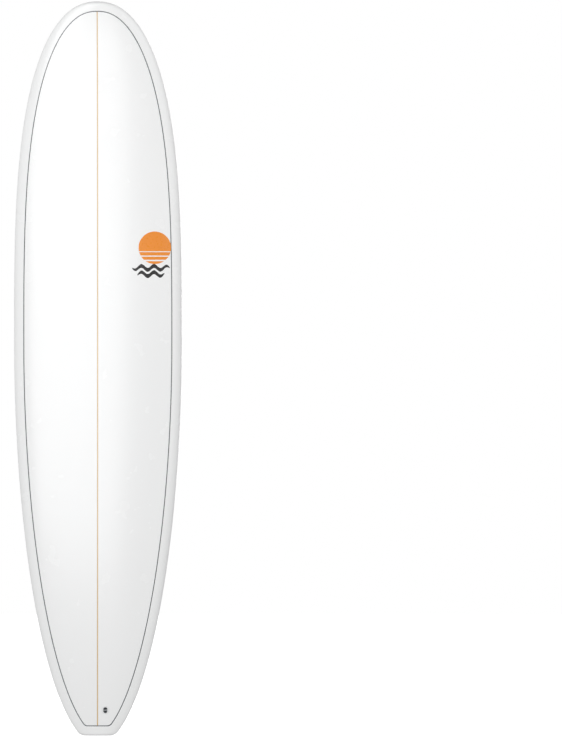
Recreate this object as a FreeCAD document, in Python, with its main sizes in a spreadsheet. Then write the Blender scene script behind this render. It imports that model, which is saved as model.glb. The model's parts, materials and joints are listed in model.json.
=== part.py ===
"""A longboard surfboard with a squash tail, a pinline and three fin boxes.

The board stands on its tail block: +Z runs from the tail to the nose, +X is
to the right of someone who looks at the deck, the deck faces -Y and the
bottom faces +Y.  The origin is on the tail block's flat end, where the centreline
meets the rails' widest line.
"""
import FreeCAD
import Part
import Sketcher
import math
import os
from FreeCAD import Placement, Rotation, Vector

doc = FreeCAD.newDocument("surfboard")

# ---------------------------------------------------------------- dimensions
sheet = doc.addObject("Spreadsheet::Sheet", "dims")

DIMENSIONS = {
    # the whole board, an 8 ft longboard
    "board_length": 2438.4,
    "board_width": 558.8,
    "board_thickness": 76.2,
    # plan shape: two superellipse arcs that meet at the wide point
    "wide_point": 1300.0,
    "nose_fullness": 3.2,
    "nose_roundness": 2.23,
    "tail_overrun": 30.0,
    "tail_fullness": 1.96,
    "tail_roundness": 1.95,
    "tail_corner": 12.0,
    # rocker: how far the bottom lifts towards the deck at the two ends
    "rocker_low_point": 1106.0,
    "nose_lift": 66.0,
    "nose_kick": 70.0,
    "tail_lift": 75.0,
    # foil: thickness at the two ends, and how late it thins
    "nose_thickness": 24.5,
    "tail_thickness": 22.0,
    "nose_foil": 2.45,
    "tail_foil": 2.6,
    "rail_apex": 0.33,
    "bottom_flatness": 5.0,
    "nose_tip_round": 12.0,
    "nose_flat": 0.5,
    "tail_edge_round": 9.0,
    "tail_edge_share": 0.55,
    # laminate
    "glass_thickness": 1.5,
    "stringer_thickness": 3.0,
    "pinline_inset": 33.0,
    "pinline_width": 3.0,
    "stripe_width": 3.6,
    # fin boxes
    "box_length": 130.0,
    "box_width": 14.3,
    "box_depth": 19.0,
    "slot_length": 104.0,
    "slot_width": 7.2,
    "slot_depth": 14.0,
    "slot_offset": 6.5,
    "bed_wall": 2.0,
    "side_box_station": 410.5,
    "side_box_offset": 146.5,
    "side_box_toe": 3.6,
    "centre_box_station": 182.0,
    "box_overlap": 0.4,
    # grub screws
    "screw_radius": 2.45,
    "screw_hole_radius": 2.5,
    "screw_length": 8.0,
    "screw_offset": 55.5,
    "screw_sink": 1.0,
    "screw_chamfer": 0.4,
    "hole_depth": 13.5,
    "hex_across_flats": 2.5,
    "hex_depth": 3.0,
    # leash plug
    "plug_station": 85.0,
    "plug_side": 26.0,
    "cup_radius": 13.5,
    "cup_depth": 17.0,
    "cavity_length": 20.0,
    "cavity_width": 13.0,
    "cavity_depth": 14.0,
    "bar_radius": 2.0,
    "bar_depth": 5.0,
    "bar_length": 19.0,
    # marks on the deck and the bottom
    "deck_sun_radius": 55.0,
    "deck_sun_station": 1622.4,
    "deck_sun_side": 190.0,
    "deck_wave_length": 126.0,
    "deck_wave_station": 1549.4,
    "deck_wave_side": 177.0,
    "bottom_sun_radius": 29.5,
    "bottom_sun_station": 1509.4,
    "bottom_mark_side": 230.0,
    "bottom_wave_length": 133.0,
    "bottom_wave_station": 1413.4,
    "size_dash_station": 348.0,
    "size_dash_length": 133.0,
    "size_dash_width": 9.0,
    "wave_thickness": 11.0,
    "deck_upper_wave": 10.0,
    "deck_lower_wave": -8.0,
    "bottom_wave_step": 9.0,
    "short_share": 0.7,
    "corner_share": 0.45,
}

for row, (alias, value) in enumerate(DIMENSIONS.items(), start=1):
    sheet.set("A%d" % row, alias)
    sheet.set("B%d" % row, "%g" % value)
    sheet.setAlias("B%d" % row, alias)
doc.recompute()


def dim(alias):
    """The value of one driving dimension."""
    return float(sheet.get(alias))


LENGTH = dim("board_length")
HALF_WIDTH = dim("board_width") / 2
REACH = 400.0  # from the centreline to well clear of the board on every side
SPARE = 50.0  # past the tail and past the nose
DASHES = 5

# ------------------------------------------------------------ the board's lines


def half_width(z):
    """Half of the board's width, at height z above the tail end."""
    wide = dim("wide_point")
    if z >= wide:
        along = min((z - wide) / (LENGTH - wide), 1.0)
        return HALF_WIDTH * (1 - along ** dim("nose_fullness")) ** (1 / dim("nose_roundness"))
    along = (wide - z) / (wide + dim("tail_overrun"))
    half = HALF_WIDTH * (1 - along ** dim("tail_fullness")) ** (1 / dim("tail_roundness"))
    corner = dim("tail_corner")
    if z < corner:
        half -= corner * (1 - math.sqrt(1 - (1 - z / corner) ** 2))
    return half


def rocker(z):
    """How far the bottom stands off a straight edge laid along its lowest point."""
    low = dim("rocker_low_point")
    if z >= low:
        along = (z - low) / (LENGTH - low)
        return dim("nose_lift") * along ** 2 + dim("nose_kick") * along ** 6
    return dim("tail_lift") * ((low - z) / low) ** 2


def thickness(z):
    """The board's thickness on its centreline, before the ends are rounded."""
    full = dim("board_thickness")
    low = dim("rocker_low_point")
    if z >= low:
        along = (z - low) / (LENGTH - low)
        return full - (full - dim("nose_thickness")) * along ** dim("nose_foil")
    return full - (full - dim("tail_thickness")) * ((low - z) / low) ** dim("tail_foil")


def end_rounding(z):
    """The share of the thickness that is left by the rounded nose tip and tail edge."""
    nose, tail = dim("nose_tip_round"), dim("tail_edge_round")
    if LENGTH - z < nose:
        return math.sqrt(max(0.0, 1 - (1 - (LENGTH - z) / nose) ** 2))
    if z < tail:
        least = dim("tail_edge_share")
        return least + (1 - least) * math.sqrt(1 - (1 - z / tail) ** 2)
    return 1.0


def apex_height(z):
    """The height of the rail's widest line above the bottom's straight edge."""
    return rocker(z) + dim("rail_apex") * thickness(z)


DATUM = apex_height(0.0)  # the origin is on the rails' widest line


def widest_line(z):
    """Where the rails' widest line is, in Y."""
    return DATUM - apex_height(z)


RINGS = 61
RING_POINTS = 48
SEAM_STEP = 15  # the ring starts on the bottom near the right rail, clear of every fitting


def section(z, inset):
    """Points round the board at height z, drawn in by inset."""
    wide = max(half_width(z) - inset, 0.0)
    left_over = end_rounding(z) * thickness(z)
    above = left_over * (1 - dim("rail_apex")) - inset
    below = left_over * dim("rail_apex") - inset
    middle = widest_line(z)
    at_height = inset + (LENGTH - 2 * inset) * z / LENGTH
    points = []
    for step in range(SEAM_STEP, SEAM_STEP + RING_POINTS):
        turn = 2 * math.pi * step / RING_POINTS
        across = math.sin(turn)
        if math.cos(turn) >= 0:
            depth = -above * math.cos(turn)
        else:
            depth = below * math.sqrt(max(0.0, 1 - abs(across) ** dim("bottom_flatness")))
        points.append(Vector(wide * across, middle + depth, at_height))
    return points


def board_solid(inset):
    """The board's whole form: one smooth skin, a flat tail end and a tiny flat at the nose."""
    last = 2 * math.asin(math.sqrt(1 - dim("nose_flat") / LENGTH))
    crowding = [math.pi * i / (RINGS - 1) for i in range(RINGS - 1)] + [last]
    rings = [section(LENGTH * (1 - math.cos(angle)) / 2, inset) for angle in crowding]
    round_poles = []
    for ring in rings:
        curve = Part.BSplineCurve()
        knots = [float(i) for i in range(RING_POINTS + 1)]
        curve.interpolate(Points=ring, PeriodicFlag=True, Parameters=knots)
        round_poles.append(curve.getPoles())
    lengthwise = []
    for column in zip(*round_poles):
        line = Part.BSplineCurve()
        line.interpolate(Points=list(column), Parameters=crowding)
        lengthwise.append(line)
    net = [list(row) for row in zip(*[line.getPoles() for line in lengthwise])]
    surface = Part.BSplineSurface()
    surface.buildFromPolesMultsKnots(
        net,
        lengthwise[0].getMultiplicities(),
        curve.getMultiplicities(),
        lengthwise[0].getKnots(),
        curve.getKnots(),
        False,
        True,
        3,
        3,
    )
    skin = surface.toShape()
    rims = [edge for edge in skin.Edges if edge.isClosed()]
    ends = [Part.makeFace(Part.Wire([rim]), "Part::FaceMakerSimple") for rim in rims]
    shell = Part.makeShell([skin] + ends)
    shell.sewShape()
    solid = Part.Solid(shell)
    if solid.Volume < 0:
        solid.reverse()
    return solid


def outline_wire(inset):
    """The plan shape drawn in by inset, as a closed curve in the XZ plane."""
    stations = 60
    step = 0.2
    right = []
    for i in range(1, stations):
        z = LENGTH * (1 - math.cos(math.pi * i / stations)) / 2
        lean = half_width(z + step) - half_width(z - step)
        run = math.hypot(lean, 2 * step)
        point = Vector(half_width(z) - inset * 2 * step / run, 0, z + inset * lean / run)
        if point.x > 1.0 and point.z > inset + 1:
            right.append(point)
    left = [Vector(-point.x, 0, point.z) for point in reversed(right)]
    side = Part.BSplineCurve()
    side.interpolate(Points=right + [Vector(0, 0, LENGTH - inset)] + left)
    corner = right[0].x - dim("tail_corner") / 2
    foot = Part.BezierCurve()
    foot.setPoles([left[-1], Vector(-corner, 0, inset), Vector(corner, 0, inset), right[0]])
    return Part.Wire([side.toShape(), foot.toShape()])


def prism(wires):
    """A prism through the whole board, with the plan shape that the wires bound."""
    face = Part.makeFace(wires, "Part::FaceMakerBullseye")
    return face.translated(Vector(0, REACH, 0)).extrude(Vector(0, -2 * REACH, 0))


def deck_side():
    """Everything on the deck's side of the rails' widest line."""
    stations = 24
    apexes = []
    for i in range(-1, stations + 2):
        z = LENGTH * i / stations
        apexes.append(Vector(-REACH, widest_line(min(max(z, 0.0), LENGTH)), z))
    line = Part.BSplineCurve()
    line.interpolate(apexes)
    tail, nose = apexes[0], apexes[-1]
    up = Vector(0, -REACH, 0)
    corners = [nose, nose + up, tail + up, tail]
    sides = [Part.makeLine(start, end) for start, end in zip(corners, corners[1:])]
    return Part.Face(Part.Wire([line.toShape()] + sides)).extrude(Vector(2 * REACH, 0, 0))


# ------------------------------------------------------------ document helpers


def bind(obj, **expressions):
    """Bind an object's properties to the sheet's cells."""
    for name, formula in expressions.items():
        obj.setExpression(name, formula)


def shape_object(name, shape):
    """A document object for a form that no parametric feature makes."""
    obj = doc.addObject("Part::Feature", name)
    obj.Shape = shape
    return obj


def cut(name, base, tool):
    """base with tool taken away."""
    obj = doc.addObject("Part::Cut", name)
    obj.Base = base
    obj.Tool = tool
    return obj


def common(name, first, second):
    """What two objects share."""
    obj = doc.addObject("Part::Common", name)
    obj.Base = first
    obj.Tool = second
    return obj


def fuse(name, parts):
    """Several objects as one tool."""
    obj = doc.addObject("Part::MultiFuse", name)
    obj.Shapes = parts
    return obj


def plane_of(body, role):
    """One of a body's own origin planes."""
    return next(f for f in body.Origin.OriginFeatures if f.Role == role)


def sketch_on(body, name, plane="XY_Plane"):
    """A new sketch on one of a body's origin planes."""
    sketch = body.newObject("Sketcher::SketchObject", name)
    sketch.AttachmentSupport = [(plane_of(body, plane), "")]
    sketch.MapMode = "FlatFace"
    return sketch


def constrain(sketch, kind, *which):
    """Add one constraint to a sketch and return its number."""
    return sketch.addConstraint(Sketcher.Constraint(kind, *which))


def disc(sketch, radius, formula):
    """Draw a circle round the sketch's origin, with its radius bound to a formula."""
    sketch.addGeometry(Part.Circle(Vector(0, 0, 0), Vector(0, 0, 1), radius), False)
    constrain(sketch, "Coincident", 0, 3, -1, 1)
    size = constrain(sketch, "Radius", 0, radius)
    sketch.setExpression("Constraints[%d]" % size, formula)


def hexagon(sketch, alias):
    """Draw a hexagon round the sketch's origin, with its width across flats in a cell."""
    radius = dim(alias) / math.sqrt(3)
    corners = []
    for i in range(6):
        turn = i * math.pi / 3
        corners.append(Vector(radius * math.cos(turn), radius * math.sin(turn), 0))
    for start, end in zip(corners, corners[1:] + corners[:1]):
        sketch.addGeometry(Part.LineSegment(start, end), False)
    ring = sketch.addGeometry(Part.Circle(Vector(0, 0, 0), Vector(0, 0, 1), radius), True)
    constrain(sketch, "Coincident", ring, 3, -1, 1)
    for i in range(6):
        constrain(sketch, "Coincident", i, 2, (i + 1) % 6, 1)
        constrain(sketch, "PointOnObject", i, 1, ring)
    for i in range(1, 6):
        constrain(sketch, "Equal", 0, i)
    constrain(sketch, "PointOnObject", 0, 1, -1)
    size = constrain(sketch, "Radius", ring, radius)
    sketch.setExpression("Constraints[%d]" % size, "dims.%s / sqrt(3)" % alias)


def stadium(sketch, long_alias, wide_alias, grow=0.0, shift=0.0):
    """Draw a round-ended slot along X whose size comes from two cells."""
    radius = dim(wide_alias) / 2 + grow
    reach = (dim(long_alias) - dim(wide_alias)) / 2
    low, high = shift - reach, shift + reach
    up = Vector(0, 0, 1)
    quarter = math.pi / 2
    top = Part.LineSegment(Vector(low, radius, 0), Vector(high, radius, 0))
    foot = Part.LineSegment(Vector(high, -radius, 0), Vector(low, -radius, 0))
    nose_round = Part.Circle(Vector(high, 0, 0), up, radius)
    tail_round = Part.Circle(Vector(low, 0, 0), up, radius)
    right = Part.ArcOfCircle(nose_round, -quarter, quarter)
    left = Part.ArcOfCircle(tail_round, quarter, 3 * quarter)
    for item in (top, right, foot, left):
        sketch.addGeometry(item, False)
    for first, end, second, start in ((0, 2, 1, 2), (2, 1, 1, 1), (2, 2, 3, 2), (0, 1, 3, 1)):
        constrain(sketch, "Tangent", first, end, second, start)
    constrain(sketch, "PointOnObject", 1, 3, -1)
    constrain(sketch, "PointOnObject", 3, 3, -1)
    size = constrain(sketch, "Radius", 1, radius)
    span = constrain(sketch, "DistanceX", 3, 3, 1, 3, 2 * reach)
    place = constrain(sketch, "DistanceX", -1, 1, 1, 3, high)
    sketch.setExpression("Constraints[%d]" % size, "dims.%s / 2 + %g" % (wide_alias, grow))
    sketch.setExpression("Constraints[%d]" % span, "dims.%s - dims.%s" % (long_alias, wide_alias))
    half = "(dims.%s - dims.%s) / 2 + %g" % (long_alias, wide_alias, shift)
    sketch.setExpression("Constraints[%d]" % place, half)


def pad(body, sketch, name, formula, into=True):
    """Pad a sketch, down into the board unless told otherwise."""
    feature = body.newObject("PartDesign::Pad", name)
    feature.Profile = sketch
    feature.Reversed = into
    feature.setExpression("Length", formula)
    return feature


def pocket(body, sketch, name, formula):
    """Pocket a sketch down from the surface."""
    feature = body.newObject("PartDesign::Pocket", name)
    feature.Profile = sketch
    feature.setExpression("Length", formula)
    return feature


# ------------------------------------------------------- the board's two forms

outer_form = shape_object("outer_form", board_solid(0.0))
foam_form = shape_object("foam_form", board_solid(dim("glass_thickness")))
glass_shell = cut("glass_shell", outer_form, foam_form)

# ------------------------------------------------------------ where things sit


def bottom_frame(x, z, toe=0.0):
    """A frame on the bottom: X towards the nose, Z straight out of the bottom."""
    slope = (rocker(z + 1) - rocker(z - 1)) / 2
    nose_way = Vector(0, -slope, 1).normalize()
    out = Vector(0, 1, slope).normalize()
    across = out.cross(nose_way)
    turned = Rotation(nose_way, across, out, "ZXY")
    turned = turned.multiply(Rotation(Vector(0, 0, 1), toe))
    point = Vector(x, DATUM - rocker(z) + dim("box_overlap"), z)
    return Placement(point, turned)


def deck_frame(x, z):
    """A frame on the deck: X towards the nose, Z straight out of the deck."""

    def surface(px, pz):
        lift = (1 - dim("rail_apex")) * thickness(pz)
        share = math.sqrt(1 - (px / half_width(pz)) ** 2)
        return widest_line(pz) - lift * share

    point = Vector(x, surface(x, z), z)
    nose_way = Vector(0, surface(x, z + 1) - surface(x, z - 1), 2).normalize()
    side_way = Vector(2, surface(x + 1, z) - surface(x - 1, z), 0).normalize()
    out = side_way.cross(nose_way).normalize()
    if out.y > 0:
        out = out.negative()
    across = out.cross(nose_way)
    return Placement(point, Rotation(nose_way, across, out, "ZXY"))


toe = dim("side_box_toe")
FIN_BOXES = {
    "left": bottom_frame(-dim("side_box_offset"), dim("side_box_station"), -toe),
    "right": bottom_frame(dim("side_box_offset"), dim("side_box_station"), toe),
    "center": bottom_frame(0.0, dim("centre_box_station")),
}
PLUG_PLACE = deck_frame(dim("plug_side"), dim("plug_station"))

finished = {}


def keep(node, obj):
    """Give a finished sub-part its name."""
    obj.Label = node
    finished[node] = obj
    return obj


# ------------------------------------------------------------------- fin boxes


def slab(name, start, length_formula):
    """A block across the board's whole depth and length, from x = start."""
    block = doc.addObject("Part::Box", name)
    height = "dims.board_length + %g" % (2 * SPARE)
    bind(block, Length=length_formula, Width="%g mm" % (2 * REACH), Height=height)
    block.Placement.Base = Vector(start, -REACH, -SPARE)
    return block


def fin_box(side, place):
    """One moulded fin box: a round-ended block with a fin slot and a screw hole."""
    body = doc.addObject("PartDesign::Body", "box_body_" + side)
    block = sketch_on(body, "box_outline_" + side)
    stadium(block, "box_length", "box_width")
    pad(body, block, "box_block_" + side, "dims.box_depth")
    slot = sketch_on(body, "slot_outline_" + side)
    stadium(slot, "slot_length", "slot_width", shift=-dim("slot_offset"))
    pocket(body, slot, "slot_pocket_" + side, "dims.slot_depth + 1")
    hole = sketch_on(body, "screw_hole_" + side)
    centre = Vector(dim("screw_offset"), 0, 0)
    hole.addGeometry(Part.Circle(centre, Vector(0, 0, 1), dim("screw_hole_radius")), False)
    constrain(hole, "PointOnObject", 0, 3, -1)
    radius = constrain(hole, "Radius", 0, dim("screw_hole_radius"))
    along = constrain(hole, "DistanceX", -1, 1, 0, 3, dim("screw_offset"))
    hole.setExpression("Constraints[%d]" % radius, "dims.screw_hole_radius")
    hole.setExpression("Constraints[%d]" % along, "dims.screw_offset")
    pocket(body, hole, "screw_bore_" + side, "dims.hole_depth")
    body.Placement = place
    return body


def block_tool(side, place, grow, name, depth):
    """A round-ended block that makes room for a fin box or for its bed."""
    body = doc.addObject("PartDesign::Body", name + "_body_" + side)
    outline = sketch_on(body, name + "_outline_" + side)
    stadium(outline, "box_length", "box_width", grow=grow)
    pad(body, outline, name + "_block_" + side, depth)
    pad(body, outline, name + "_top_" + side, "10 mm", into=False)
    body.Placement = place
    return body


def grub_screw(side, place):
    """A grub screw with a hexagon socket and chamfered ends."""
    body = doc.addObject("PartDesign::Body", "screw_body_" + side)
    outline = sketch_on(body, "screw_outline_" + side)
    disc(outline, dim("screw_radius"), "dims.screw_radius")
    pad(body, outline, "screw_shank_" + side, "dims.screw_length")
    socket = sketch_on(body, "hex_outline_" + side)
    hexagon(socket, "hex_across_flats")
    driven = pocket(body, socket, "hex_pocket_" + side, "dims.hex_depth")
    doc.recompute()
    rim = 2 * math.pi * dim("screw_radius")
    ends = [
        "Edge%d" % number
        for number, edge in enumerate(driven.Shape.Edges, start=1)
        if edge.Closed and abs(edge.Length - rim) < 0.01
    ]
    bevel = body.newObject("PartDesign::Chamfer", "screw_chamfer_" + side)
    bevel.Base = (driven, ends)
    bevel.setExpression("Size", "dims.screw_chamfer")
    sunk = Vector(dim("screw_offset"), 0, -dim("screw_sink") - dim("box_overlap"))
    body.Placement = place.multiply(Placement(sunk, Rotation()))
    return body


openings_for_boxes = []
room_in_foam = []
for side, place in FIN_BOXES.items():
    box = fin_box(side, place)
    opening = block_tool(side, place, 0.0, "opening", "dims.box_depth")
    bed_block = block_tool(side, place, dim("bed_wall"), "bed", "dims.box_depth + dims.bed_wall")
    doc.recompute()
    keep("fin_box_" + side, common("box_" + side, box, outer_form))
    bed_in_foam = common("bed_in_foam_" + side, bed_block, foam_form)
    keep("fin_box_bed_" + side, cut("bed_" + side, bed_in_foam, opening))
    keep("fin_screw_" + side, grub_screw(side, place))
    openings_for_boxes.append(opening)
    room_in_foam.append(bed_block)

# ------------------------------------------------------------------ leash plug


def round_body(name, radius_formula, depth_formula, top):
    """A plain round plug along the deck's normal, which stands out of the deck by top."""
    body = doc.addObject("PartDesign::Body", name + "_body")
    outline = sketch_on(body, name + "_outline")
    disc(outline, dim("cup_radius"), radius_formula)
    pad(body, outline, name + "_block", depth_formula)
    pad(body, outline, name + "_top", top, into=False)
    body.Placement = PLUG_PLACE
    return body


cup_block = round_body("cup", "dims.cup_radius", "dims.cup_depth", "2 mm")
cavity = sketch_on(cup_block, "cavity_outline")
stadium(cavity, "cavity_length", "cavity_width")
doc.recompute()
pocket(cup_block, cavity, "cavity_pocket", "dims.cavity_depth")
mouth = pocket(cup_block, cavity, "cavity_mouth", "10 mm")
mouth.Reversed = True
bar = doc.addObject("Part::Cylinder", "bar_rod")
bind(bar, Radius="dims.bar_radius", Height="dims.bar_length")
across_cup = Rotation(Vector(1, 0, 0), 90)
bar_start = Vector(0, dim("bar_length") / 2, -dim("bar_depth"))
bar.Placement = PLUG_PLACE.multiply(Placement(bar_start, across_cup))
plug_opening = round_body("plug_opening", "dims.cup_radius", "dims.cup_depth", "10 mm")
room_radius = "dims.cup_radius + dims.bed_wall"
plug_room = round_body("plug_room", room_radius, "dims.cup_depth + dims.bed_wall", "10 mm")
doc.recompute()
cup_in_board = common("cup_in_board", cup_block, outer_form)
keep("leash_cup", cut("leash_cup_drilled", cup_in_board, bar))
keep("leash_bar", bar)
bed_round = common("plug_bed_in_foam", plug_room, foam_form)
keep("leash_cup_bed", cut("plug_bed", bed_round, plug_opening))
openings_for_boxes.append(plug_opening)
room_in_foam.append(plug_room)

# --------------------------------------------------------- foam and stringer

all_rooms = fuse("all_rooms", room_in_foam)
routed_foam = cut("routed_foam", foam_form, all_rooms)
strip_half = dim("stringer_thickness") / 2
stringer_slab = slab("stringer_slab", -strip_half, "dims.stringer_thickness")
half_block = {
    "left": slab("half_block_left", -strip_half - REACH, "%g mm" % REACH),
    "right": slab("half_block_right", strip_half, "%g mm" % REACH),
}
for side, block in half_block.items():
    keep("foam_core_" + side, common("core_" + side, routed_foam, block))
keep("stringer", common("stringer_in_board", routed_foam, stringer_slab))

# ------------------------------------------------------------ glass and paint

all_openings = fuse("all_openings", openings_for_boxes)
open_shell = cut("open_shell", glass_shell, all_openings)

line_middle, line_half = dim("pinline_inset"), dim("pinline_width") / 2
outside_line = outline_wire(line_middle - line_half)
inside_line = outline_wire(line_middle + line_half)
deck_side_block = shape_object("deck_side_block", deck_side())
outside_prism = shape_object("outside_prism", prism([outside_line]))
inside_prism = shape_object("inside_prism", prism([inside_line]))
band_prism = shape_object("band_prism", prism([outside_line, inside_line]))
deck_side_shell = common("deck_side_shell", open_shell, deck_side_block)
deck_shell = common("deck_shell", deck_side_shell, inside_prism)
keep("pinline", common("pinline_in_shell", deck_side_shell, band_prism))
deck_side_prism = common("deck_side_prism", outside_prism, deck_side_block)
bottom_raw = cut("bottom_shell", open_shell, deck_side_prism)

stripe_slab = slab("stripe_slab", -dim("stripe_width") / 2, "dims.stripe_width")
keep("center_stripe", common("stripe_in_shell", deck_shell, stripe_slab))


# -------------------------------------------------------------------- marks


def bar_prism(x, z, wide, tall, start_y):
    """A round-cornered bar that stands through one side of the board, from y = start_y."""
    box = Part.makeBox(wide, REACH, tall, Vector(x - wide / 2, start_y, z - tall / 2))
    across = [e for e in box.Edges if abs(e.Vertexes[0].Y - e.Vertexes[-1].Y) > 1]
    return box.makeFillet(min(wide, tall) * dim("corner_share"), across)


def rod(alias, x, z, start_y):
    """A round rod that stands through one side of the board, from y = start_y."""
    return Part.makeCylinder(dim(alias), REACH, Vector(x, start_y, z), Vector(0, 1, 0))


short = dim("short_share")
sun_station = dim("deck_sun_station")
deck_sun_start = widest_line(sun_station) - REACH
deck_sun_tool = rod("deck_sun_radius", dim("deck_sun_side"), sun_station, deck_sun_start)
wave_station = dim("deck_wave_station")
deck_waves = [
    bar_prism(
        dim("deck_wave_side"),
        wave_station + lift,
        dim("deck_wave_length") * share,
        dim("wave_thickness"),
        widest_line(wave_station) - REACH,
    )
    for lift, share in ((dim("deck_upper_wave"), 1.0), (dim("deck_lower_wave"), short))
]
mark_side = -dim("bottom_mark_side")
sun_station = dim("bottom_sun_station")
bottom_sun_tool = rod("bottom_sun_radius", mark_side, sun_station, widest_line(sun_station))
wave_station = dim("bottom_wave_station")
wave_step = dim("bottom_wave_step")
bottom_waves = [
    bar_prism(
        mark_side + shift,
        wave_station,
        dim("wave_thickness"),
        dim("bottom_wave_length") * share,
        widest_line(wave_station),
    )
    for shift, share in ((wave_step, 1.0), (-wave_step, short))
]
dash_station = dim("size_dash_station")
dash_pitch = dim("size_dash_length") / DASHES
size_dashes = [
    bar_prism(
        0.0,
        dash_station + (i - (DASHES - 1) / 2) * dash_pitch,
        dim("size_dash_width"),
        dash_pitch * short,
        widest_line(dash_station),
    )
    for i in range(DASHES)
]

mark_tools = {
    "deck_mark_sun": (deck_shell, [deck_sun_tool]),
    "deck_mark_waves": (deck_shell, deck_waves),
    "bottom_mark_sun": (bottom_raw, [bottom_sun_tool]),
    "bottom_mark_waves": (bottom_raw, bottom_waves),
    "bottom_size_dashes": (bottom_raw, size_dashes),
}
taken = {deck_shell: [stripe_slab], bottom_raw: []}
for node, (skin, tools) in mark_tools.items():
    tool = shape_object(node + "_tool", Part.makeCompound(tools))
    keep(node, common(node + "_in_skin", skin, tool))
    taken[skin].append(tool)

deck_glass = cut("deck_skin_cut", deck_shell, fuse("deck_takeaways", taken[deck_shell]))
for side, block in half_block.items():
    keep("deck_skin_" + side, common("deck_glass_" + side, deck_glass, block))
bottom_takeaways = fuse("bottom_takeaways", taken[bottom_raw])
keep("bottom_skin", cut("bottom_skin_cut", bottom_raw, bottom_takeaways))

doc.recompute()

# ------------------------------------------------------------- write the parts
for obj in doc.Objects:
    if {"Invalid", "Error"} & set(obj.State):
        raise RuntimeError("%s failed: %s" % (obj.Name, obj.State))
for node, obj in finished.items():
    if obj.Shape.isNull() or not obj.Shape.isValid() or not obj.Shape.Solids:
        raise RuntimeError("%s has no valid solid" % node)

os.makedirs("parts", exist_ok=True)
for node, obj in sorted(finished.items()):
    obj.Shape.exportStep(os.path.join("parts", obj.Label + ".step"))
    print("%-20s %2d solids %12.1f mm3" % (node, len(obj.Shape.Solids), obj.Shape.Volume))
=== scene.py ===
"""The looks of a longboard surfboard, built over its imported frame.

The board stands on its tail block.  +Z runs to the nose, the deck faces -Y
and the bottom faces +Y.  Sizes are in millimetres until a mesh is placed.
"""

import json
import logging
import math
from dataclasses import dataclass, field, replace
from enum import Enum
from typing import Sequence

import bmesh
import bpy
import numpy as np
from mathutils import Matrix, Vector

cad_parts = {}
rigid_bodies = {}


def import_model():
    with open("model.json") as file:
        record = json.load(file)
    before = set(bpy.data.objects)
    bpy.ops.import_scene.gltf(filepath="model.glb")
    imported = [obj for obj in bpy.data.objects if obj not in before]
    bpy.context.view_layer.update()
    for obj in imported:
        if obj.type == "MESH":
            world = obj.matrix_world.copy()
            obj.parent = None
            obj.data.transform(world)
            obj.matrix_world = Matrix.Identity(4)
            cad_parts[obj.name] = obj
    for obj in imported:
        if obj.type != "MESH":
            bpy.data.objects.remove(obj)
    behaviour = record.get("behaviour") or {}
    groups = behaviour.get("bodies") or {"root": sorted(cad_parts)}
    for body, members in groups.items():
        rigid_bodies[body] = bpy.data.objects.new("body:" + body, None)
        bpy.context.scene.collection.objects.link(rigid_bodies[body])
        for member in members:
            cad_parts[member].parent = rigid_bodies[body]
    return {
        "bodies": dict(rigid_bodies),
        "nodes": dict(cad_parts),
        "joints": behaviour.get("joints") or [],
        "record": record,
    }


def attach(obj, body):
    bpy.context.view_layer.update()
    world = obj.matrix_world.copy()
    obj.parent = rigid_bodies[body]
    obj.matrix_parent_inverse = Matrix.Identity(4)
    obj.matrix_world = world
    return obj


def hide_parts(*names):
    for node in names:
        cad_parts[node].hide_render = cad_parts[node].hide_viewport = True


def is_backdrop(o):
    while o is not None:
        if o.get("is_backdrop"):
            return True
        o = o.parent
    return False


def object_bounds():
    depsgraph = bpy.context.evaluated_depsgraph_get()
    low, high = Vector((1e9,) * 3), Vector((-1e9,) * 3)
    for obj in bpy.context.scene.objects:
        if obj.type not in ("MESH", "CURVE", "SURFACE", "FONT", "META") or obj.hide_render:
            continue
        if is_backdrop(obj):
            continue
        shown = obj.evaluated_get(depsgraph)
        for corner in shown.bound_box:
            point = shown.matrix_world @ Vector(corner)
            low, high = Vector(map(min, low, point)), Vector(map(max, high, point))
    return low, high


LOG = logging.getLogger("surfboard")
MM = 0.001
ON_AXIS = 1e-7  # metres; nearer than this, a point is on the axis

Point = tuple[float, float]


class Face(Enum):
    """The two sides of the board that carry paint and fittings."""

    DECK = -1.0
    BOTTOM = 1.0


# --------------------------------------------------------------------- lines


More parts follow.
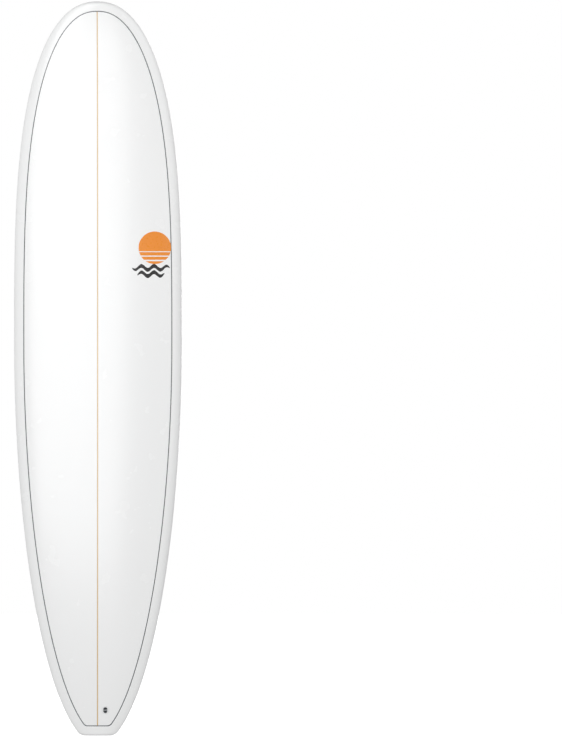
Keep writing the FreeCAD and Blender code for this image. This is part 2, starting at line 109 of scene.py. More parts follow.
@dataclass(frozen=True)
class BoardLines:
    """The board's outline, rocker and foil, as formulas in millimetres."""

    length: float = 2438.4
    half_breadth: float = 279.4
    full_thickness: float = 76.2
    wide_point: float = 1300.0
    nose_fullness: float = 3.2
    nose_roundness: float = 2.23
    tail_overrun: float = 30.0
    tail_fullness: float = 1.96
    tail_roundness: float = 1.95
    tail_corner: float = 12.0
    low_point: float = 1106.0
    nose_lift: float = 66.0
    nose_kick: float = 70.0
    tail_lift: float = 75.0
    nose_thickness: float = 24.5
    tail_thickness: float = 22.0
    nose_foil: float = 2.45
    tail_foil: float = 2.6
    rail_apex: float = 0.33
    flatness: float = 5.0
    nose_tip_round: float = 12.0
    tail_edge_round: float = 9.0
    tail_edge_share: float = 0.55

    def side(self, z: float) -> float:
        """Half of the width at height z, before the tail corners are rounded."""
        if z >= self.wide_point:
            along = min((z - self.wide_point) / (self.length - self.wide_point), 1.0)
            return self.half_breadth * (1 - along**self.nose_fullness) ** (1 / self.nose_roundness)
        along = (self.wide_point - z) / (self.wide_point + self.tail_overrun)
        return self.half_breadth * (1 - along**self.tail_fullness) ** (1 / self.tail_roundness)

    def half_width(self, z: float) -> float:
        """Half of the width at height z, with the tail corners rounded."""
        half = self.side(z)
        if z < self.tail_corner:
            half -= self.tail_corner * (1 - math.sqrt(1 - (1 - z / self.tail_corner) ** 2))
        return half

    def rocker(self, z: float) -> float:
        """How far the bottom stands off a straight edge laid along its low point."""
        if z >= self.low_point:
            along = (z - self.low_point) / (self.length - self.low_point)
            return self.nose_lift * along**2 + self.nose_kick * along**6
        return self.tail_lift * ((self.low_point - z) / self.low_point) ** 2

    def thickness(self, z: float) -> float:
        """The thickness on the centreline, before the ends are rounded."""
        full = self.full_thickness
        if z >= self.low_point:
            along = (z - self.low_point) / (self.length - self.low_point)
            return full - (full - self.nose_thickness) * along**self.nose_foil
        along = (self.low_point - z) / self.low_point
        return full - (full - self.tail_thickness) * along**self.tail_foil

    def left_over(self, z: float) -> float:
        """The share of the thickness that the rounded ends leave at height z."""
        from_nose = max(self.length - z, 0.0)
        if from_nose < self.nose_tip_round:
            return math.sqrt(1 - (1 - from_nose / self.nose_tip_round) ** 2)
        if z < self.tail_edge_round:
            rounded = math.sqrt(1 - (1 - z / self.tail_edge_round) ** 2)
            return self.tail_edge_share + (1 - self.tail_edge_share) * rounded
        return 1.0

    def apex(self, z: float) -> float:
        """The y of the rail's widest line at height z."""
        tail = self.rocker(0.0) + self.rail_apex * self.thickness(0.0)
        return tail - self.rocker(z) - self.rail_apex * self.thickness(z)

    def surface(self, x: float, z: float, face: Face) -> float:
        """The y of the board's skin over a point of the plan shape.

        Args:
            x: How far from the centreline.
            z: How far above the tail end.
            face: The side of the board.

        Returns:
            The skin's y in millimetres.
        """
        widest = max(self.half_width(z), 1e-6)
        across = min(abs(x) / widest, 1.0)
        depth = self.left_over(z) * self.thickness(z)
        if face is Face.DECK:
            return self.apex(z) - depth * (1 - self.rail_apex) * math.sqrt(1 - across**2)
        return self.apex(z) + depth * self.rail_apex * math.sqrt(1 - across**self.flatness)

    def outward(self, x: float, z: float, face: Face) -> Vector:
        """The skin's outward normal over a point of the plan shape."""
        step = 0.5
        rise_x = self.surface(x + step, z, face) - self.surface(x - step, z, face)
        rise_z = self.surface(x, z + step, face) - self.surface(x, z - step, face)
        normal = Vector((-rise_x / (2 * step), 1.0, -rise_z / (2 * step)))
        return normal.normalized() * face.value

    def place(self, x: float, z: float, face: Face, lift: float = 0.0) -> Vector:
        """A point on the skin, lifted off it by a little, in metres."""
        point = Vector((x, self.surface(x, z, face), z))
        if lift:
            point += self.outward(x, z, face) * lift
        return point * MM


@dataclass
class PlanRings:
    """Closed curves round the plan shape, each drawn in by its own inset."""

    lines: BoardLines
    tail_steps: int = 8
    side_steps: int = 200
    samples: int = 3000
    corner_shrink: float = 0.15
    least_corner: float = 6.0

    def drawn_in(self, inset: float) -> tuple[np.ndarray, np.ndarray]:
        """Half widths of the outline drawn in by inset, against height.

        Args:
            inset: The distance from the outline, in millimetres.

        Returns:
            The heights, rising, and the half width at each.
        """
        angle = np.linspace(0.0, math.pi, self.samples)
        source = self.lines.length * (1 - np.cos(angle)) / 2
        half = np.array([self.lines.side(z) for z in source])
        run_z = np.gradient(source, angle)
        run_x = np.gradient(half, angle)
        size = np.hypot(run_z, run_x)
        size[size == 0] = 1.0
        heights = source + inset * run_x / size
        halves = half - inset * run_z / size
        heights[-1] = self.lines.length - inset
        halves[-1] = 0.0
        keep = halves >= 0.0
        order = np.argsort(heights[keep])
        return heights[keep][order], halves[keep][order]

    def ring(self, inset: float) -> list[Point]:
        """Points round the plan shape, from the tail's middle up the right side.

        Args:
            inset: The distance from the outline, in millimetres.

        Returns:
            The x and z of each point; the first and the last are the same.
        """
        heights, halves = self.drawn_in(inset)
        corner = max(self.lines.tail_corner - self.corner_shrink * inset, self.least_corner)
        low, high = inset, self.lines.length - inset

        def half_at(z: float) -> float:
            half = float(np.interp(z, heights, halves))
            if z - low < corner:
                half -= corner * (1 - math.sqrt(1 - (1 - (z - low) / corner) ** 2))
            return max(half, 0.0)

        right = [(half_at(low) * i / self.tail_steps, low) for i in range(self.tail_steps)]
        for i in range(self.side_steps + 1):
            z = low + (high - low) * (1 - math.cos(math.pi * i / self.side_steps)) / 2
            right.append((half_at(z) if i < self.side_steps else 0.0, z))
        left = [(-x, z) for x, z in reversed(right[:-1])]
        return right + left


# ------------------------------------------------------------------- meshes


def open_grid(columns: int, rows: int) -> bmesh.types.BMesh:
    """A flat grid whose vertices run along the columns first.

    Args:
        columns: The number of vertices in a row.
        rows: The number of rows.

    Returns:
        A new bmesh.
    """
    mesh = bmesh.new()
    bmesh.ops.create_grid(mesh, x_segments=columns - 1, y_segments=rows - 1, size=1.0)
    mesh.verts.ensure_lookup_table()
    return mesh


def face_out(mesh: bmesh.types.BMesh, way: Vector) -> None:
    """Turn an open sheet's faces so that most of them look along way."""
    bmesh.ops.recalc_face_normals(mesh, faces=mesh.faces)
    leaning = sum(face.normal.dot(way) * face.calc_area() for face in mesh.faces)
    if leaning < 0:
        bmesh.ops.reverse_faces(mesh, faces=mesh.faces)


def finished(mesh: bmesh.types.BMesh, name: str, sharp: float = 0.6) -> bpy.types.Object:
    """Make an object of a bmesh, smooth but for its sharp edges.

    Args:
        mesh: The bmesh, which is freed.
        name: The piece's name.
        sharp: The angle in radians past which an edge stays sharp.

    Returns:
        The new object, linked to the scene.
    """
    for face in mesh.faces:
        face.smooth = True
    for edge in mesh.edges:
        edge.smooth = edge.calc_face_angle(0.0) < sharp
    data = bpy.data.meshes.new(name)
    mesh.to_mesh(data)
    mesh.free()
    piece = bpy.data.objects.new(name, data)
    bpy.context.scene.collection.objects.link(piece)
    return piece


def settle(piece: bpy.types.Object, sharp: float = 0.6) -> bpy.types.Object:
    """Apply a piece's modifiers and mark its sharp edges again."""
    graph = bpy.context.evaluated_depsgraph_get()
    data = bpy.data.meshes.new_from_object(piece.evaluated_get(graph))
    piece.modifiers.clear()
    piece.data = data
    mesh = bmesh.new()
    mesh.from_mesh(data)
    for edge in mesh.edges:
        edge.smooth = edge.calc_face_angle(0.0) < sharp
    mesh.to_mesh(data)
    mesh.free()
    return piece


def thicken(piece: bpy.types.Object, thickness: float) -> None:
    """Give a sheet a wall that grows inwards, in millimetres."""
    wall = piece.modifiers.new("wall", "SOLIDIFY")
    wall.thickness = thickness * MM
    wall.offset = -1.0


def cut_holes(piece: bpy.types.Object, cutters: Sequence[bpy.types.Object]) -> None:
    """Cut holes through a piece and throw the cutters away."""
    for cutter in cutters:
        hole = piece.modifiers.new("hole", "BOOLEAN")
        hole.operation = "DIFFERENCE"
        hole.solver = "EXACT"
        hole.object = cutter
    settle(piece)
    for cutter in cutters:
        bpy.data.objects.remove(cutter)


# ------------------------------------------------------------------ materials


def linear(code: str) -> tuple[float, float, float, float]:
    """Turn an sRGB hex colour such as F4F5F5 to linear light."""
    parts = [int(code[i : i + 2], 16) / 255 for i in (0, 2, 4)]
    light = [c / 12.92 if c <= 0.04045 else ((c + 0.055) / 1.055) ** 2.4 for c in parts]
    return (light[0], light[1], light[2], 1.0)


def node(tree: bpy.types.NodeTree, kind: str, links: dict | None = None, **settings: object):
    """Add a node with its settings, values and links.

    Args:
        tree: The material's node tree.
        kind: The node's type name, such as ShaderNodeTexNoise.
        links: Input name or number to a value, or to the socket it links from.
        settings: Properties of the node itself.

    Returns:
        The new node.
    """
    made = tree.nodes.new(kind)
    for key, value in settings.items():
        setattr(made, key, value)
    for key, value in (links or {}).items():
        if isinstance(value, bpy.types.NodeSocket):
            tree.links.new(value, made.inputs[key])
        else:
            made.inputs[key].default_value = value
    return made


def new_material(name: str) -> tuple[bpy.types.Material, bpy.types.NodeTree]:
    """An empty node-based material and its tree."""
    material = bpy.data.materials.new(name)
    material.use_nodes = True
    material.node_tree.nodes.clear()
    return material, material.node_tree


def noise(tree: bpy.types.NodeTree, place: bpy.types.NodeSocket, size: float, detail: float):
    """Add a cloudy noise whose features are about size millimetres across."""
    links = {"Vector": place, "Scale": 1 / (size * MM), "Detail": detail}
    return node(tree, "ShaderNodeTexNoise", links)


@dataclass(frozen=True)
class Finish:
    """A finish with mottled colour, uneven gloss and a fine surface texture.

    The two colours are mixed by a cloudy noise, the gloss varies by a second
    one, and the bump is a third.  Sizes are real, in millimetres.
    """

    name: str
    light: str
    dark: str
    mottle_size: float = 90.0
    roughness: tuple[float, float] = (0.2, 0.3)
    gloss_size: float = 25.0
    grain_size: float = 2.0
    grain_height: float = 0.01
    stretch: tuple[float, float, float] = (1.0, 1.0, 1.0)
    metallic: float = 0.0
    ior: float = 1.5
    coat: float = 0.0
    coat_roughness: float = 0.16

    def make(self) -> bpy.types.Material:
        """Build the material."""
        material, tree = new_material(self.name)
        place = node(tree, "ShaderNodeTexCoord").outputs["Object"]
        spot = node(tree, "ShaderNodeMapping", {"Vector": place, "Scale": self.stretch}).outputs[0]
        cloud = noise(tree, spot, self.mottle_size, 4.0)
        blend = node(
            tree,
            "ShaderNodeMix",
            {0: cloud.outputs[0], 6: linear(self.light), 7: linear(self.dark)},
            data_type="RGBA",
        )
        sheen = noise(tree, spot, self.gloss_size, 3.0)
        gloss = node(
            tree,
            "ShaderNodeMapRange",
            {"Value": sheen.outputs[0], 1: 0.3, 2: 0.7, 3: self.roughness[0], 4: self.roughness[1]},
        )
        grain = noise(tree, spot, self.grain_size, 3.0)
        bump = node(
            tree,
            "ShaderNodeBump",
            {"Height": grain.outputs[0], "Distance": self.grain_height * MM, "Strength": 1.0},
        )
        shader = node(
            tree,
            "ShaderNodeBsdfPrincipled",
            {
                "Base Color": blend.outputs[2],
                "Roughness": gloss.outputs[0],
                "Normal": bump.outputs[0],
                "Metallic": self.metallic,
                "IOR": self.ior,
                "Coat Weight": self.coat,
                "Coat Roughness": self.coat_roughness,
            },
        )
        node(tree, "ShaderNodeOutputMaterial", {"Surface": shader.outputs[0]})
        return material


# Sprayed polyurethane under a polished coat: white, with a faint orange peel.
BOARD_WHITE = Finish(
    name="polished_white_laminate",
    light="FCFCFC",
    dark="FAFBFB",
    mottle_size=400.0,
    roughness=(0.22, 0.28),
    gloss_size=60.0,
    grain_size=14.0,
    grain_height=0.008,
    coat=0.4,
)
# Painted line under the same coat: dark slate, a little uneven where the tape lay.
SLATE_LINE = Finish(
    name="slate_pinline_paint",
    light="565C61",
    dark="474D52",
    mottle_size=12.0,
    roughness=(0.25, 0.35),
    gloss_size=10.0,
    grain_size=1.2,
    grain_height=0.006,
    coat=0.5,
)
# Thin tan stripe with a long grain, as of a cedar strip under gloss.
TAN_STRIPE = Finish(
    name="tan_center_stripe",
    light="DEBC88",
    dark="D0AC74",
    mottle_size=3.0,
    roughness=(0.25, 0.35),
    gloss_size=10.0,
    grain_size=0.8,
    grain_height=0.01,
    stretch=(1.0, 1.0, 0.04),
    coat=0.5,
)
# Screen-printed ink under gloss: flat colour with fine pinholes and mottling.
ORANGE_INK = Finish(
    name="orange_screen_ink",
    light="F9982A",
    dark="F28A14",
    mottle_size=6.0,
    roughness=(0.25, 0.34),
    gloss_size=8.0,
    grain_size=0.7,
    grain_height=0.008,
    coat=0.5,
)
BLACK_INK = replace(ORANGE_INK, name="black_screen_ink", light="1B1B1D", dark="101012")
GREY_INK = replace(
    ORANGE_INK,
    name="grey_screen_ink",
    light="8C9094",
    dark="7B8085",
    mottle_size=4.0,
    roughness=(0.28, 0.36),
)
# Shaped foam: matt, cream, with open cells that show as fine pits.
FOAM = Finish(
    name="shaped_foam",
    light="F3EFE2",
    dark="E9E3D2",
    mottle_size=30.0,
    roughness=(0.8, 0.95),
    gloss_size=10.0,
    grain_size=0.8,
    grain_height=0.2,
)
# Planed plywood strip: warm brown with a long grain.
TIMBER = Finish(
    name="planed_plywood",
    light="C49A66",
    dark="A87C4B",
    mottle_size=4.0,
    roughness=(0.55, 0.7),
    gloss_size=10.0,
    grain_size=0.6,
    grain_height=0.05,
    stretch=(1.0, 1.0, 0.05),
)
# Cast resin with chopped fibre: milky, with a soft gloss.
RESIN = Finish(
    name="milky_cast_resin",
    light="E9E8DE",
    dark="DAD8CB",
    mottle_size=6.0,
    roughness=(0.3, 0.45),
    gloss_size=6.0,
    grain_size=1.0,
    grain_height=0.03,
    ior=1.55,
)
# Machined stainless steel: bright grey, with fine turning marks.
STEEL = Finish(
    name="turned_stainless_steel",
    light="C9CBCD",
    dark="B2B5B8",
    mottle_size=2.0,
    roughness=(0.22, 0.38),
    gloss_size=1.0,
    grain_size=0.25,
    grain_height=0.01,
    stretch=(1.0, 6.0, 1.0),
    metallic=1.0,
)


@dataclass(frozen=True)
class Fitting:
    """Where a fitting sits on the skin: its middle, its turn and its side."""

    station: float
    offset: float
    toe: float = 0.0
    face: Face = Face.BOTTOM

    def axes(self, lines: BoardLines) -> Matrix:
        """The fitting's frame, x towards the nose and z out of the board, in metres."""
        out = lines.outward(self.offset, self.station, self.face)
        if self.face is Face.BOTTOM:
            slope = (lines.rocker(self.station + 1) - lines.rocker(self.station - 1)) / 2
            out = Vector((0.0, 1.0, slope)).normalized()
        nose = Vector((0.0, 0.0, 1.0)) - out * out.z
        nose.normalize()
        across = out.cross(nose)
        turn = Matrix((nose, across, out)).transposed().to_4x4()
        middle = lines.place(self.offset, self.station, self.face)
        return Matrix.Translation(middle) @ turn @ Matrix.Rotation(math.radians(self.toe), 4, "Z")


@dataclass(frozen=True)
class RimFinish:
    """A moulded fitting: its rim is sanded and painted white, and inside it is painted grey as shade that
    stands in for the shade down in its recess.
    """

    name: str
    fitting: Fitting
    lines: BoardLines
    rim_depth: float = 1.2
    rim_blur: float = 0.4

    def make(self) -> bpy.types.Material:
        """Build the material; the white rim is told from the painted shade of the slot below it by its
        depth.
        """
        material, tree = new_material(self.name)
        frame = self.fitting.axes(self.lines)
        out = frame.to_3x3() @ Vector((0.0, 0.0, 1.0))
        level = out.dot(frame.translation) - self.rim_depth * MM
        place = node(tree, "ShaderNodeTexCoord").outputs["Object"]
        depth = node(tree, "ShaderNodeVectorMath", {0: place, 1: out}, operation="DOT_PRODUCT")
        height = depth.outputs["Value"]
        blur = self.rim_blur * MM
        rim = node(
            tree,
            "ShaderNodeMapRange",
            {"Value": height, 1: level - blur, 2: level + blur, 3: 0.0, 4: 1.0},
        )
        fibre = node(tree, "ShaderNodeTexNoise", {"Vector": place, "Scale": 450.0, "Detail": 4.0})
        # Painted shade: the grey below the rim stands in for the shade that falls down in the fitting's
        # slot or cup, not the plastic's own colour.
        slot_painted_shade = node(
            tree,
            "ShaderNodeMix",
            {0: fibre.outputs[0], 6: linear("6E7276"), 7: linear("82868A")},
            data_type="RGBA",
        )
        tone = node(
            tree,
            "ShaderNodeMix",
            {0: rim.outputs[0], 6: slot_painted_shade.outputs[2], 7: linear("EDEEEE")},
            data_type="RGBA",
        )
        bump = node(
            tree,
            "ShaderNodeBump",
            {"Height": fibre.outputs[0], "Distance": 0.03 * MM, "Strength": 1.0},
        )
        shader = node(
            tree,
            "ShaderNodeBsdfPrincipled",
            {"Base Color": tone.outputs[2], "Roughness": 0.42, "Normal": bump.outputs[0], "IOR": 1.52},
        )
        node(tree, "ShaderNodeOutputMaterial", {"Surface": shader.outputs[0]})
        return material


# ------------------------------------------------------------- sub-assemblies


def dress(piece: bpy.types.Object, material: bpy.types.Material) -> None:
    """Give a piece one material all over."""
    piece.data.materials.clear()
    piece.data.materials.append(material)
    for polygon in piece.data.polygons:
        polygon.material_index = 0


@dataclass
class Laminate:
    """The glass skins and the painted lines between them."""

    lines: BoardLines
    rings: PlanRings
    wall: float = 1.5
    pinline_inset: float = 33.0
    pinline_width: float = 3.0
    rail_rows: int = 18
    bottom_rows: int = 20
    bottom_reach: float = 60.0
    inner_rows: int = 26
    spine_margins: Point = (150.0, 220.0)
    stripe_width: float = 3.6
    stripe_lift: float = 0.12
    stripe_film: float = 0.3

    def spokes(self, inset: float, face: Face) -> list[list[Vector]]:
        """Rows of points from the ring at inset in to the board's spine.

        Args:
            inset: The ring's distance from the outline.
            face: The side of the board.

        Returns:
            Rows of points on the skin, in metres.
        """
        edge = self.rings.ring(inset)
        low = self.spine_margins[0]
        high = self.lines.length - self.spine_margins[1]
        rows = []
        for step in range(self.inner_rows + 1):
            share = step / self.inner_rows
            row = []
            for x, z in edge:
                spine = min(max(z, low), high)
                height = z + (spine - z) * share
                row.append(self.lines.place(x * (1 - share), height, face))
            rows.append(row)
        return rows

    def sheet(self, rows: list[list[Vector]], name: str, way: Vector) -> bpy.types.Object:
        """A sheet through rows of points, merged where they meet."""
        mesh = open_grid(len(rows[0]), len(rows))
        for vertex, point in zip(mesh.verts, (point for row in rows for point in row)):
            vertex.co = point
        bmesh.ops.remove_doubles(mesh, verts=mesh.verts, dist=0.01 * MM)
        bmesh.ops.dissolve_degenerate(mesh, edges=mesh.edges, dist=0.005 * MM)
        face_out(mesh, way)
        return finished(mesh, name)

    def row_at(self, inset: float, face: Face) -> list[Vector]:
        """One ring of points on the skin."""
        return [self.lines.place(x, z, face) for x, z in self.rings.ring(inset)]

    def build_deck(self, cup_cutter: bpy.types.Object) -> bpy.types.Object:
        """The deck skin inside the pinline, with the leash cup's hole."""
        inset = self.pinline_inset + self.pinline_width / 2
        deck = self.sheet(self.spokes(inset, Face.DECK), "deck_glass", Vector((0, -1, 0)))
        thicken(deck, self.wall)
        cut_holes(deck, [cup_cutter])
        return deck

    def build_pinline(self) -> bpy.types.Object:
        """The dark line that covers the lap between the two skins."""
        inner = self.pinline_inset + self.pinline_width / 2
        steps = 3
        insets = [inner - self.pinline_width * i / steps for i in range(steps + 1)]
        rows = [self.row_at(inset, Face.DECK) for inset in insets]
        line = self.sheet(rows, "pinline_ring", Vector((0, -1, 0)))
        thicken(line, self.wall)
        return settle(line)

    def build_bottom(self, cutters: Sequence[bpy.types.Object]) -> bpy.types.Object:
        """The bottom skin, which wraps round the rails up to the pinline."""
        outer = self.pinline_inset - self.pinline_width / 2
        rail = [
            outer * (1 - math.sin(math.pi / 2 * i / self.rail_rows))
            for i in range(self.rail_rows + 1)
        ]
        turn = [
            self.bottom_reach * (1 - math.cos(math.pi / 2 * i / self.bottom_rows))
            for i in range(self.bottom_rows)
        ]
        rows = [self.row_at(max(inset, 0.0), Face.DECK) for inset in rail]
        rows += [self.row_at(inset, Face.BOTTOM) for inset in turn]
        rows += self.spokes(self.bottom_reach, Face.BOTTOM)
        bottom = self.sheet(rows, "bottom_glass", Vector((0, 1, 0)))
        thicken(bottom, self.wall)
        cut_holes(bottom, cutters)
        return bottom

    def build_stripe(self) -> bpy.types.Object:
        """The tan stripe down the middle of the deck."""
        inset = self.pinline_inset + self.pinline_width / 2
        columns, rows = 3, 240
        mesh = open_grid(columns, rows)
        for number, vertex in enumerate(mesh.verts):
            x = (number % columns / (columns - 1) - 0.5) * self.stripe_width
            z = inset + (self.lines.length - 2 * inset) * (number // columns) / (rows - 1)
            vertex.co = self.lines.place(x, z, Face.DECK, self.stripe_lift)
        face_out(mesh, Vector((0, -1, 0)))
        stripe = finished(mesh, "center_stripe_strip")
        thicken(stripe, self.stripe_film)
        return settle(stripe)


@dataclass
class Marks:
    """Generic printed marks: a slatted sun over waves, and plain dashes."""

    lines: BoardLines
    lift: float = 0.12
    film: float = 0.2
    first_gap: float = 0.22
    gap_pitch: float = 0.26
    gap_height: float = 0.05
    gap_growth: float = 0.02
    second_share: float = 0.72
    wave_half: float = 0.17
    wave_crest: float = 0.16
    wave_step: float = 0.52
    dash_share: float = 0.66

    def lay(
        self,
        mesh: bmesh.types.BMesh,
        name: str,
        face: Face,
        middle: Point,
        turned: bool = False,
    ) -> bpy.types.Object:
        """Lay a flat print, drawn in x and y, on the board's skin.

        Args:
            mesh: The flat print, in millimetres about its own middle.
            name: The piece's name.
            face: The side of the board.
            middle: The print's x and z on the board.
            turned: Whether the print reads along the board.

        Returns:
            The printed piece.
        """
        for vertex in mesh.verts:
            across, up = vertex.co.x, vertex.co.y
            if turned:
                across, up = up, -across
            if face is Face.BOTTOM:
                across = -across
            vertex.co = self.lines.place(middle[0] + across, middle[1] + up, face, self.lift)
        face_out(mesh, Vector((0, face.value, 0)))
        print_ = finished(mesh, name)
        thicken(print_, self.film)
        return settle(print_)

    def sun(self, radius: float, slats: int = 3) -> bmesh.types.BMesh:
        """A round sun whose lower half is cut into slats."""
        mesh = bmesh.new()
        spine = [mesh.verts.new((radius * i / 16, 0.0, 0.0)) for i in range(17)]
        edges = [mesh.edges.new(pair) for pair in zip(spine, spine[1:])]
        bmesh.ops.spin(
            mesh,
            geom=spine + edges,
            cent=(0, 0, 0),
            axis=(0, 0, 1),
            angle=2 * math.pi,
            steps=96,
            use_merge=True,
        )
        bmesh.ops.remove_doubles(mesh, verts=mesh.verts, dist=0.01)
        for slat in range(slats):
            high = -radius * (self.first_gap + self.gap_pitch * slat)
            low = high - radius * (self.gap_height + self.gap_growth * slat)
            for height in (high, low):
                bmesh.ops.bisect_plane(
                    mesh,
                    geom=mesh.verts[:] + mesh.edges[:] + mesh.faces[:],
                    plane_co=(0, height, 0),
                    plane_no=(0, 1, 0),
                )
            gone = [f for f in mesh.faces if low < f.calc_center_median().y < high]
            bmesh.ops.delete(mesh, geom=gone, context="FACES")
        return mesh

    def waves(self, length: float, tall: float) -> bmesh.types.BMesh:
        """Two swells, the second shorter than the first."""
        joined = bmesh.new()
        for number, share in enumerate((1.0, self.second_share)):
            columns, rows = 121, 4
            swell = open_grid(columns, rows)
            for vertex in swell.verts:
                along = vertex.co.x
                half = tall * self.wave_half * math.sqrt(max(0.0, 1 - abs(along) ** 3))
                crest = tall * self.wave_crest * math.sin(along * math.pi * 3 * share)
                level = tall * self.wave_step * (0.5 - number)
                vertex.co = (along * length / 2 * share, crest + vertex.co.y * half + level, 0.0)
            bmesh.ops.remove_doubles(swell, verts=swell.verts, dist=0.01)
            data = bpy.data.meshes.new("swell")
            swell.to_mesh(data)
            swell.free()
            joined.from_mesh(data)
            bpy.data.meshes.remove(data)
        return joined

    def dashes(self, length: float, wide: float, count: int = 5) -> bmesh.types.BMesh:
        """A row of plain dashes along the board."""
        joined = bmesh.new()
        pitch = length / count
        for number in range(count):
            middle = (number - (count - 1) / 2) * pitch
            made = bmesh.ops.create_grid(joined, x_segments=2, y_segments=8, size=0.5)
            for vertex in made["verts"]:
                up = middle + vertex.co.y * pitch * self.dash_share
                vertex.co = (vertex.co.x * wide, up, 0.0)
        return joined


# -------------------------------------------------------------------- fittings


@dataclass(frozen=True)
class Cutters:
    """Prisms that cut the skins where a fitting comes through."""

    lines: BoardLines
    box_length: float = 130.0
    box_width: float = 14.3
    cup_radius: float = 13.5
    reach: float = 6.0

    def slot(self, fitting: Fitting, name: str) -> bpy.types.Object:
        """A round-ended prism of a fin box's outline."""
        mesh = bmesh.new()
        bmesh.ops.create_circle(mesh, cap_ends=True, segments=48, radius=self.box_width / 2 * MM)
        shift = (self.box_length - self.box_width) / 2 * MM
        for vertex in mesh.verts:
            if abs(vertex.co.x) > ON_AXIS:
                vertex.co.x += math.copysign(shift, vertex.co.x)
            else:
                vertex.co.x = 0.0
        return self.prism(mesh, fitting, name)

    def round(self, fitting: Fitting, name: str) -> bpy.types.Object:
        """A round prism of the leash cup's outline."""
        mesh = bmesh.new()
        bmesh.ops.create_circle(mesh, cap_ends=True, segments=64, radius=self.cup_radius * MM)
        return self.prism(mesh, fitting, name)

    def prism(self, mesh: bmesh.types.BMesh, fitting: Fitting, name: str) -> bpy.types.Object:
        """Stand a flat outline through the skin at a fitting."""
        made = bmesh.ops.extrude_face_region(mesh, geom=mesh.faces[:])
        top = [item for item in made["geom"] if isinstance(item, bmesh.types.BMVert)]
        bmesh.ops.translate(mesh, verts=top, vec=(0, 0, 2 * self.reach * MM))
        bmesh.ops.translate(mesh, verts=mesh.verts, vec=(0, 0, -self.reach * MM))
        bmesh.ops.recalc_face_normals(mesh, faces=mesh.faces)
        mesh.transform(fitting.axes(self.lines))
        return finished(mesh, name)


# ----------------------------------------------------------------- the studio


@dataclass(frozen=True)
class Softbox:
    """A square area light, in metres and watts, as it hangs before the bottom."""

    across: float
    away: float
    up: float
    aim_up: float
    size: float
    watts: float


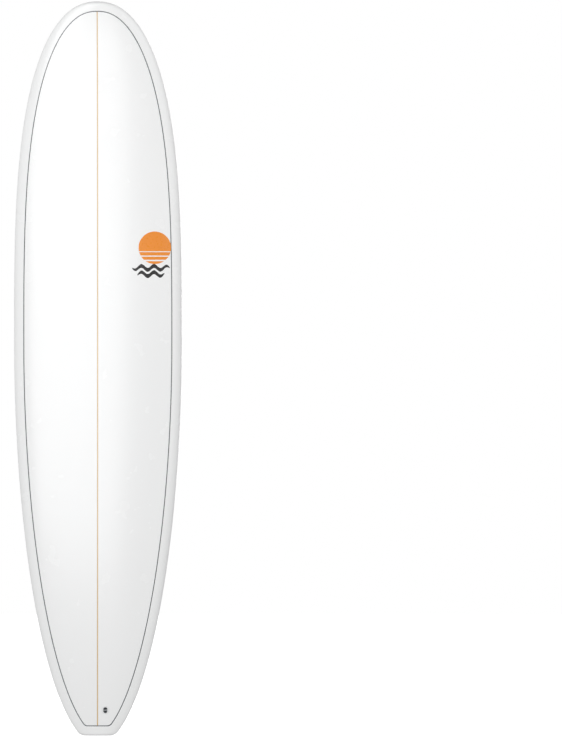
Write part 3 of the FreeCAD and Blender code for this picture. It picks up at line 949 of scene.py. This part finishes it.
@dataclass(frozen=True)
class Studio:
    """Plain white surroundings, soft lights and a long-lensed camera."""

    view_height: float = 2490.5
    camera_side: float = 609.8
    camera_up: float = 1200.7
    lens: float = 400.0
    sensor: float = 36.0
    side_light: float = 0.42
    face_light: float = 0.57
    floor_glow: float = 0.8
    floor_radius: float = 14.0
    floor_drop: float = 0.001
    key: Softbox = Softbox(across=0.7, away=3.2, up=1.85, aim_up=1.65, size=2.4, watts=49.0)
    fill: Softbox = Softbox(across=-4.0, away=5.0, up=1.5, aim_up=1.2, size=3.0, watts=14.0)

    def camera(self) -> bpy.types.Object:
        """A camera square on to the deck, far enough off to look flat."""
        data = bpy.data.cameras.new("camera")
        data.lens = self.lens
        data.sensor_width = self.sensor
        away = self.view_height * self.lens / self.sensor
        data.clip_end = 200.0
        camera = bpy.data.objects.new("camera", data)
        camera.location = Vector((self.camera_side, -away, self.camera_up)) * MM
        camera.rotation_euler = (math.pi / 2, 0.0, 0.0)
        bpy.context.scene.collection.objects.link(camera)
        bpy.context.scene.camera = camera
        return camera

    def light(self, name: str, box: Softbox, side: Face) -> None:
        """Hang a softbox before one side of the board."""
        data = bpy.data.lights.new(name, "AREA")
        data.size = box.size
        data.energy = box.watts
        lamp = bpy.data.objects.new(name, data)
        spot = Vector((box.across * side.value, box.away * side.value, box.up))
        aim = Vector((0.0, 0.0, box.aim_up))
        lamp.location = spot
        lamp.rotation_euler = (aim - spot).to_track_quat("-Z", "Y").to_euler()
        bpy.context.scene.collection.objects.link(lamp)

    def world(self) -> None:
        """White behind the board, and light that is strongest square on to its faces."""
        world = bpy.data.worlds.new("studio")
        world.use_nodes = True
        tree = world.node_tree
        tree.nodes.clear()
        way = node(tree, "ShaderNodeTexCoord").outputs["Generated"]
        side = node(tree, "ShaderNodeSeparateXYZ", {"Vector": way})
        facing = node(tree, "ShaderNodeMath", {0: side.outputs["Y"]}, operation="ABSOLUTE").outputs[0]
        strength = node(
            tree,
            "ShaderNodeMapRange",
            {"Value": facing, 1: 0.0, 2: 1.0, 3: self.side_light, 4: self.face_light},
        )
        lit = node(tree, "ShaderNodeBackground", {"Color": (1, 1, 1, 1), "Strength": strength.outputs[0]})
        seen = node(tree, "ShaderNodeBackground", {"Color": (1, 1, 1, 1), "Strength": 1.0})
        path = node(tree, "ShaderNodeLightPath").outputs["Is Camera Ray"]
        both = node(tree, "ShaderNodeMixShader", {0: path, 1: lit.outputs[0], 2: seen.outputs[0]})
        node(tree, "ShaderNodeOutputWorld", {"Surface": both.outputs[0]})
        bpy.context.scene.world = world

    def floor_material(self) -> bpy.types.Material:
        """Pale floor: matt paint with a little light of its own, so it meets the white."""
        material, tree = new_material("pale_studio_floor")
        place = node(tree, "ShaderNodeTexCoord").outputs["Object"]
        cloud = node(tree, "ShaderNodeTexNoise", {"Vector": place, "Scale": 1.5, "Detail": 3.0})
        tone = node(
            tree,
            "ShaderNodeMix",
            {0: cloud.outputs[0], 6: linear("FFFFFF"), 7: linear("FBFBFB")},
            data_type="RGBA",
        )
        shader = node(
            tree,
            "ShaderNodeBsdfPrincipled",
            {
                "Base Color": tone.outputs[2],
                "Roughness": 0.9,
                "Specular IOR Level": 0.0,
                "Emission Color": (1, 1, 1, 1),
                "Emission Strength": self.floor_glow,
            },
        )
        node(tree, "ShaderNodeOutputMaterial", {"Surface": shader.outputs[0]})
        return material

    def floor(self) -> bpy.types.Object:
        """A wide pale floor under the tail."""
        mesh = bmesh.new()
        bmesh.ops.create_circle(mesh, cap_ends=True, segments=96, radius=self.floor_radius)
        bmesh.ops.translate(mesh, verts=mesh.verts, vec=(0, 0, -self.floor_drop))
        floor = finished(mesh, "floor")
        dress(floor, self.floor_material())
        floor.visible_diffuse = False
        floor.visible_glossy = False
        floor.visible_shadow = False
        floor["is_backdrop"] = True
        return floor

    def build(self) -> None:
        """Set up the camera, the lights, the world and the floor."""
        self.camera()
        self.world()
        self.floor()
        for place, side in (("front", Face.DECK), ("back", Face.BOTTOM)):
            self.light(place + "_softbox", self.key, side)
            self.light(place + "_fill", self.fill, side)
        bpy.context.scene.view_settings.view_transform = "Standard"


# ------------------------------------------------------------------------ main


@dataclass
class Surfboard:
    """The whole board: its skins, lines, marks and fittings."""

    frame: dict
    lines: BoardLines = field(default_factory=BoardLines)
    side_station: float = 410.5
    side_offset: float = 146.5
    side_toe: float = 3.6
    centre_station: float = 182.0
    plug: Fitting = Fitting(station=85.0, offset=26.0, face=Face.DECK)

    def fin_fittings(self) -> dict[str, Fitting]:
        """Where the three fin boxes sit."""
        return {
            "left": Fitting(self.side_station, -self.side_offset, -self.side_toe),
            "right": Fitting(self.side_station, self.side_offset, self.side_toe),
            "center": Fitting(self.centre_station, 0.0),
        }

    def stand_for(
        self, piece: bpy.types.Object, finish: Finish, nodes: Sequence[str]
    ) -> None:
        """Dress a piece, hang it on the board and let it stand for CAD nodes."""
        dress(piece, finish.make())
        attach(piece, "board")
        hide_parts(*nodes)
        LOG.info("%s stands for %s", piece.name, ", ".join(nodes))

    def build_skins(self) -> None:
        """The two glass skins, the pinline and the stripe."""
        glass = Laminate(self.lines, PlanRings(self.lines))
        cutters = Cutters(self.lines)
        slots = [cutters.slot(f, "cut_" + side) for side, f in self.fin_fittings().items()]
        deck = glass.build_deck(cutters.round(self.plug, "cut_plug"))
        self.stand_for(deck, BOARD_WHITE, ["deck_skin_left", "deck_skin_right"])
        self.stand_for(glass.build_bottom(slots), BOARD_WHITE, ["bottom_skin"])
        self.stand_for(glass.build_pinline(), SLATE_LINE, ["pinline"])
        self.stand_for(glass.build_stripe(), TAN_STRIPE, ["center_stripe"])

    def build_marks(self) -> None:
        """The printed marks on the deck and the bottom."""
        marks = Marks(self.lines)
        deck, bottom = Face.DECK, Face.BOTTOM
        sun = marks.lay(marks.sun(54.0), "deck_sun_print", deck, (190.0, 1622.4))
        self.stand_for(sun, ORANGE_INK, ["deck_mark_sun"])
        waves = marks.lay(marks.waves(126.0, 40.0), "deck_wave_print", deck, (177.0, 1545.0))
        self.stand_for(waves, BLACK_INK, ["deck_mark_waves"])
        small = marks.lay(marks.sun(29.5), "bottom_sun_print", bottom, (-230.0, 1509.4), True)
        self.stand_for(small, ORANGE_INK, ["bottom_mark_sun"])
        swell = marks.lay(marks.waves(133.0, 42.0), "bottom_wave_print", bottom, (-230.0, 1413.4), True)
        self.stand_for(swell, BLACK_INK, ["bottom_mark_waves"])
        dashes = marks.lay(marks.dashes(133.0, 9.0), "bottom_dash_print", bottom, (0.0, 348.0))
        self.stand_for(dashes, GREY_INK, ["bottom_size_dashes"])

    def dress_frame(self) -> None:
        """Give every CAD node that stays its finish, with painted shade inside the fin boxes and the
        leash cup.
        """
        plain = {
            "foam_core_left": FOAM,
            "foam_core_right": FOAM,
            "stringer": TIMBER,
            "leash_bar": STEEL,
            "leash_cup_bed": RESIN,
        }
        for side, fitting in self.fin_fittings().items():
            plain["fin_screw_" + side] = STEEL
            plain["fin_box_bed_" + side] = RESIN
            box = self.frame["nodes"]["fin_box_" + side]
            # Fin boxes get a white rim and painted shade, a grey standing in for shade, down in the slot.
            dress(box, RimFinish("moulded_fin_box_" + side, fitting, self.lines).make())
        # The leash cup gets a white rim and painted shade, a grey standing in for shade, down in the
        # hollow.
        cup = RimFinish("moulded_leash_cup", self.plug, self.lines)
        dress(self.frame["nodes"]["leash_cup"], cup.make())
        made = {finish.name: finish.make() for finish in plain.values()}
        for name, finish in plain.items():
            dress(self.frame["nodes"][name], made[finish.name])
        LOG.info("dressed %d plain frame nodes", len(plain))


def main(frame: dict, cad_box: tuple[Vector, Vector]) -> None:
    """Build the board and its studio.

    Args:
        cad_box: The CAD model's lowest and highest corner; not used.
    """
    logging.basicConfig(level=logging.INFO, format="%(message)s")
    board = Surfboard(frame)
    board.build_skins()
    board.build_marks()
    board.dress_frame()
    Studio().build()


if __name__ == "__main__":
    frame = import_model()
    main(frame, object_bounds())
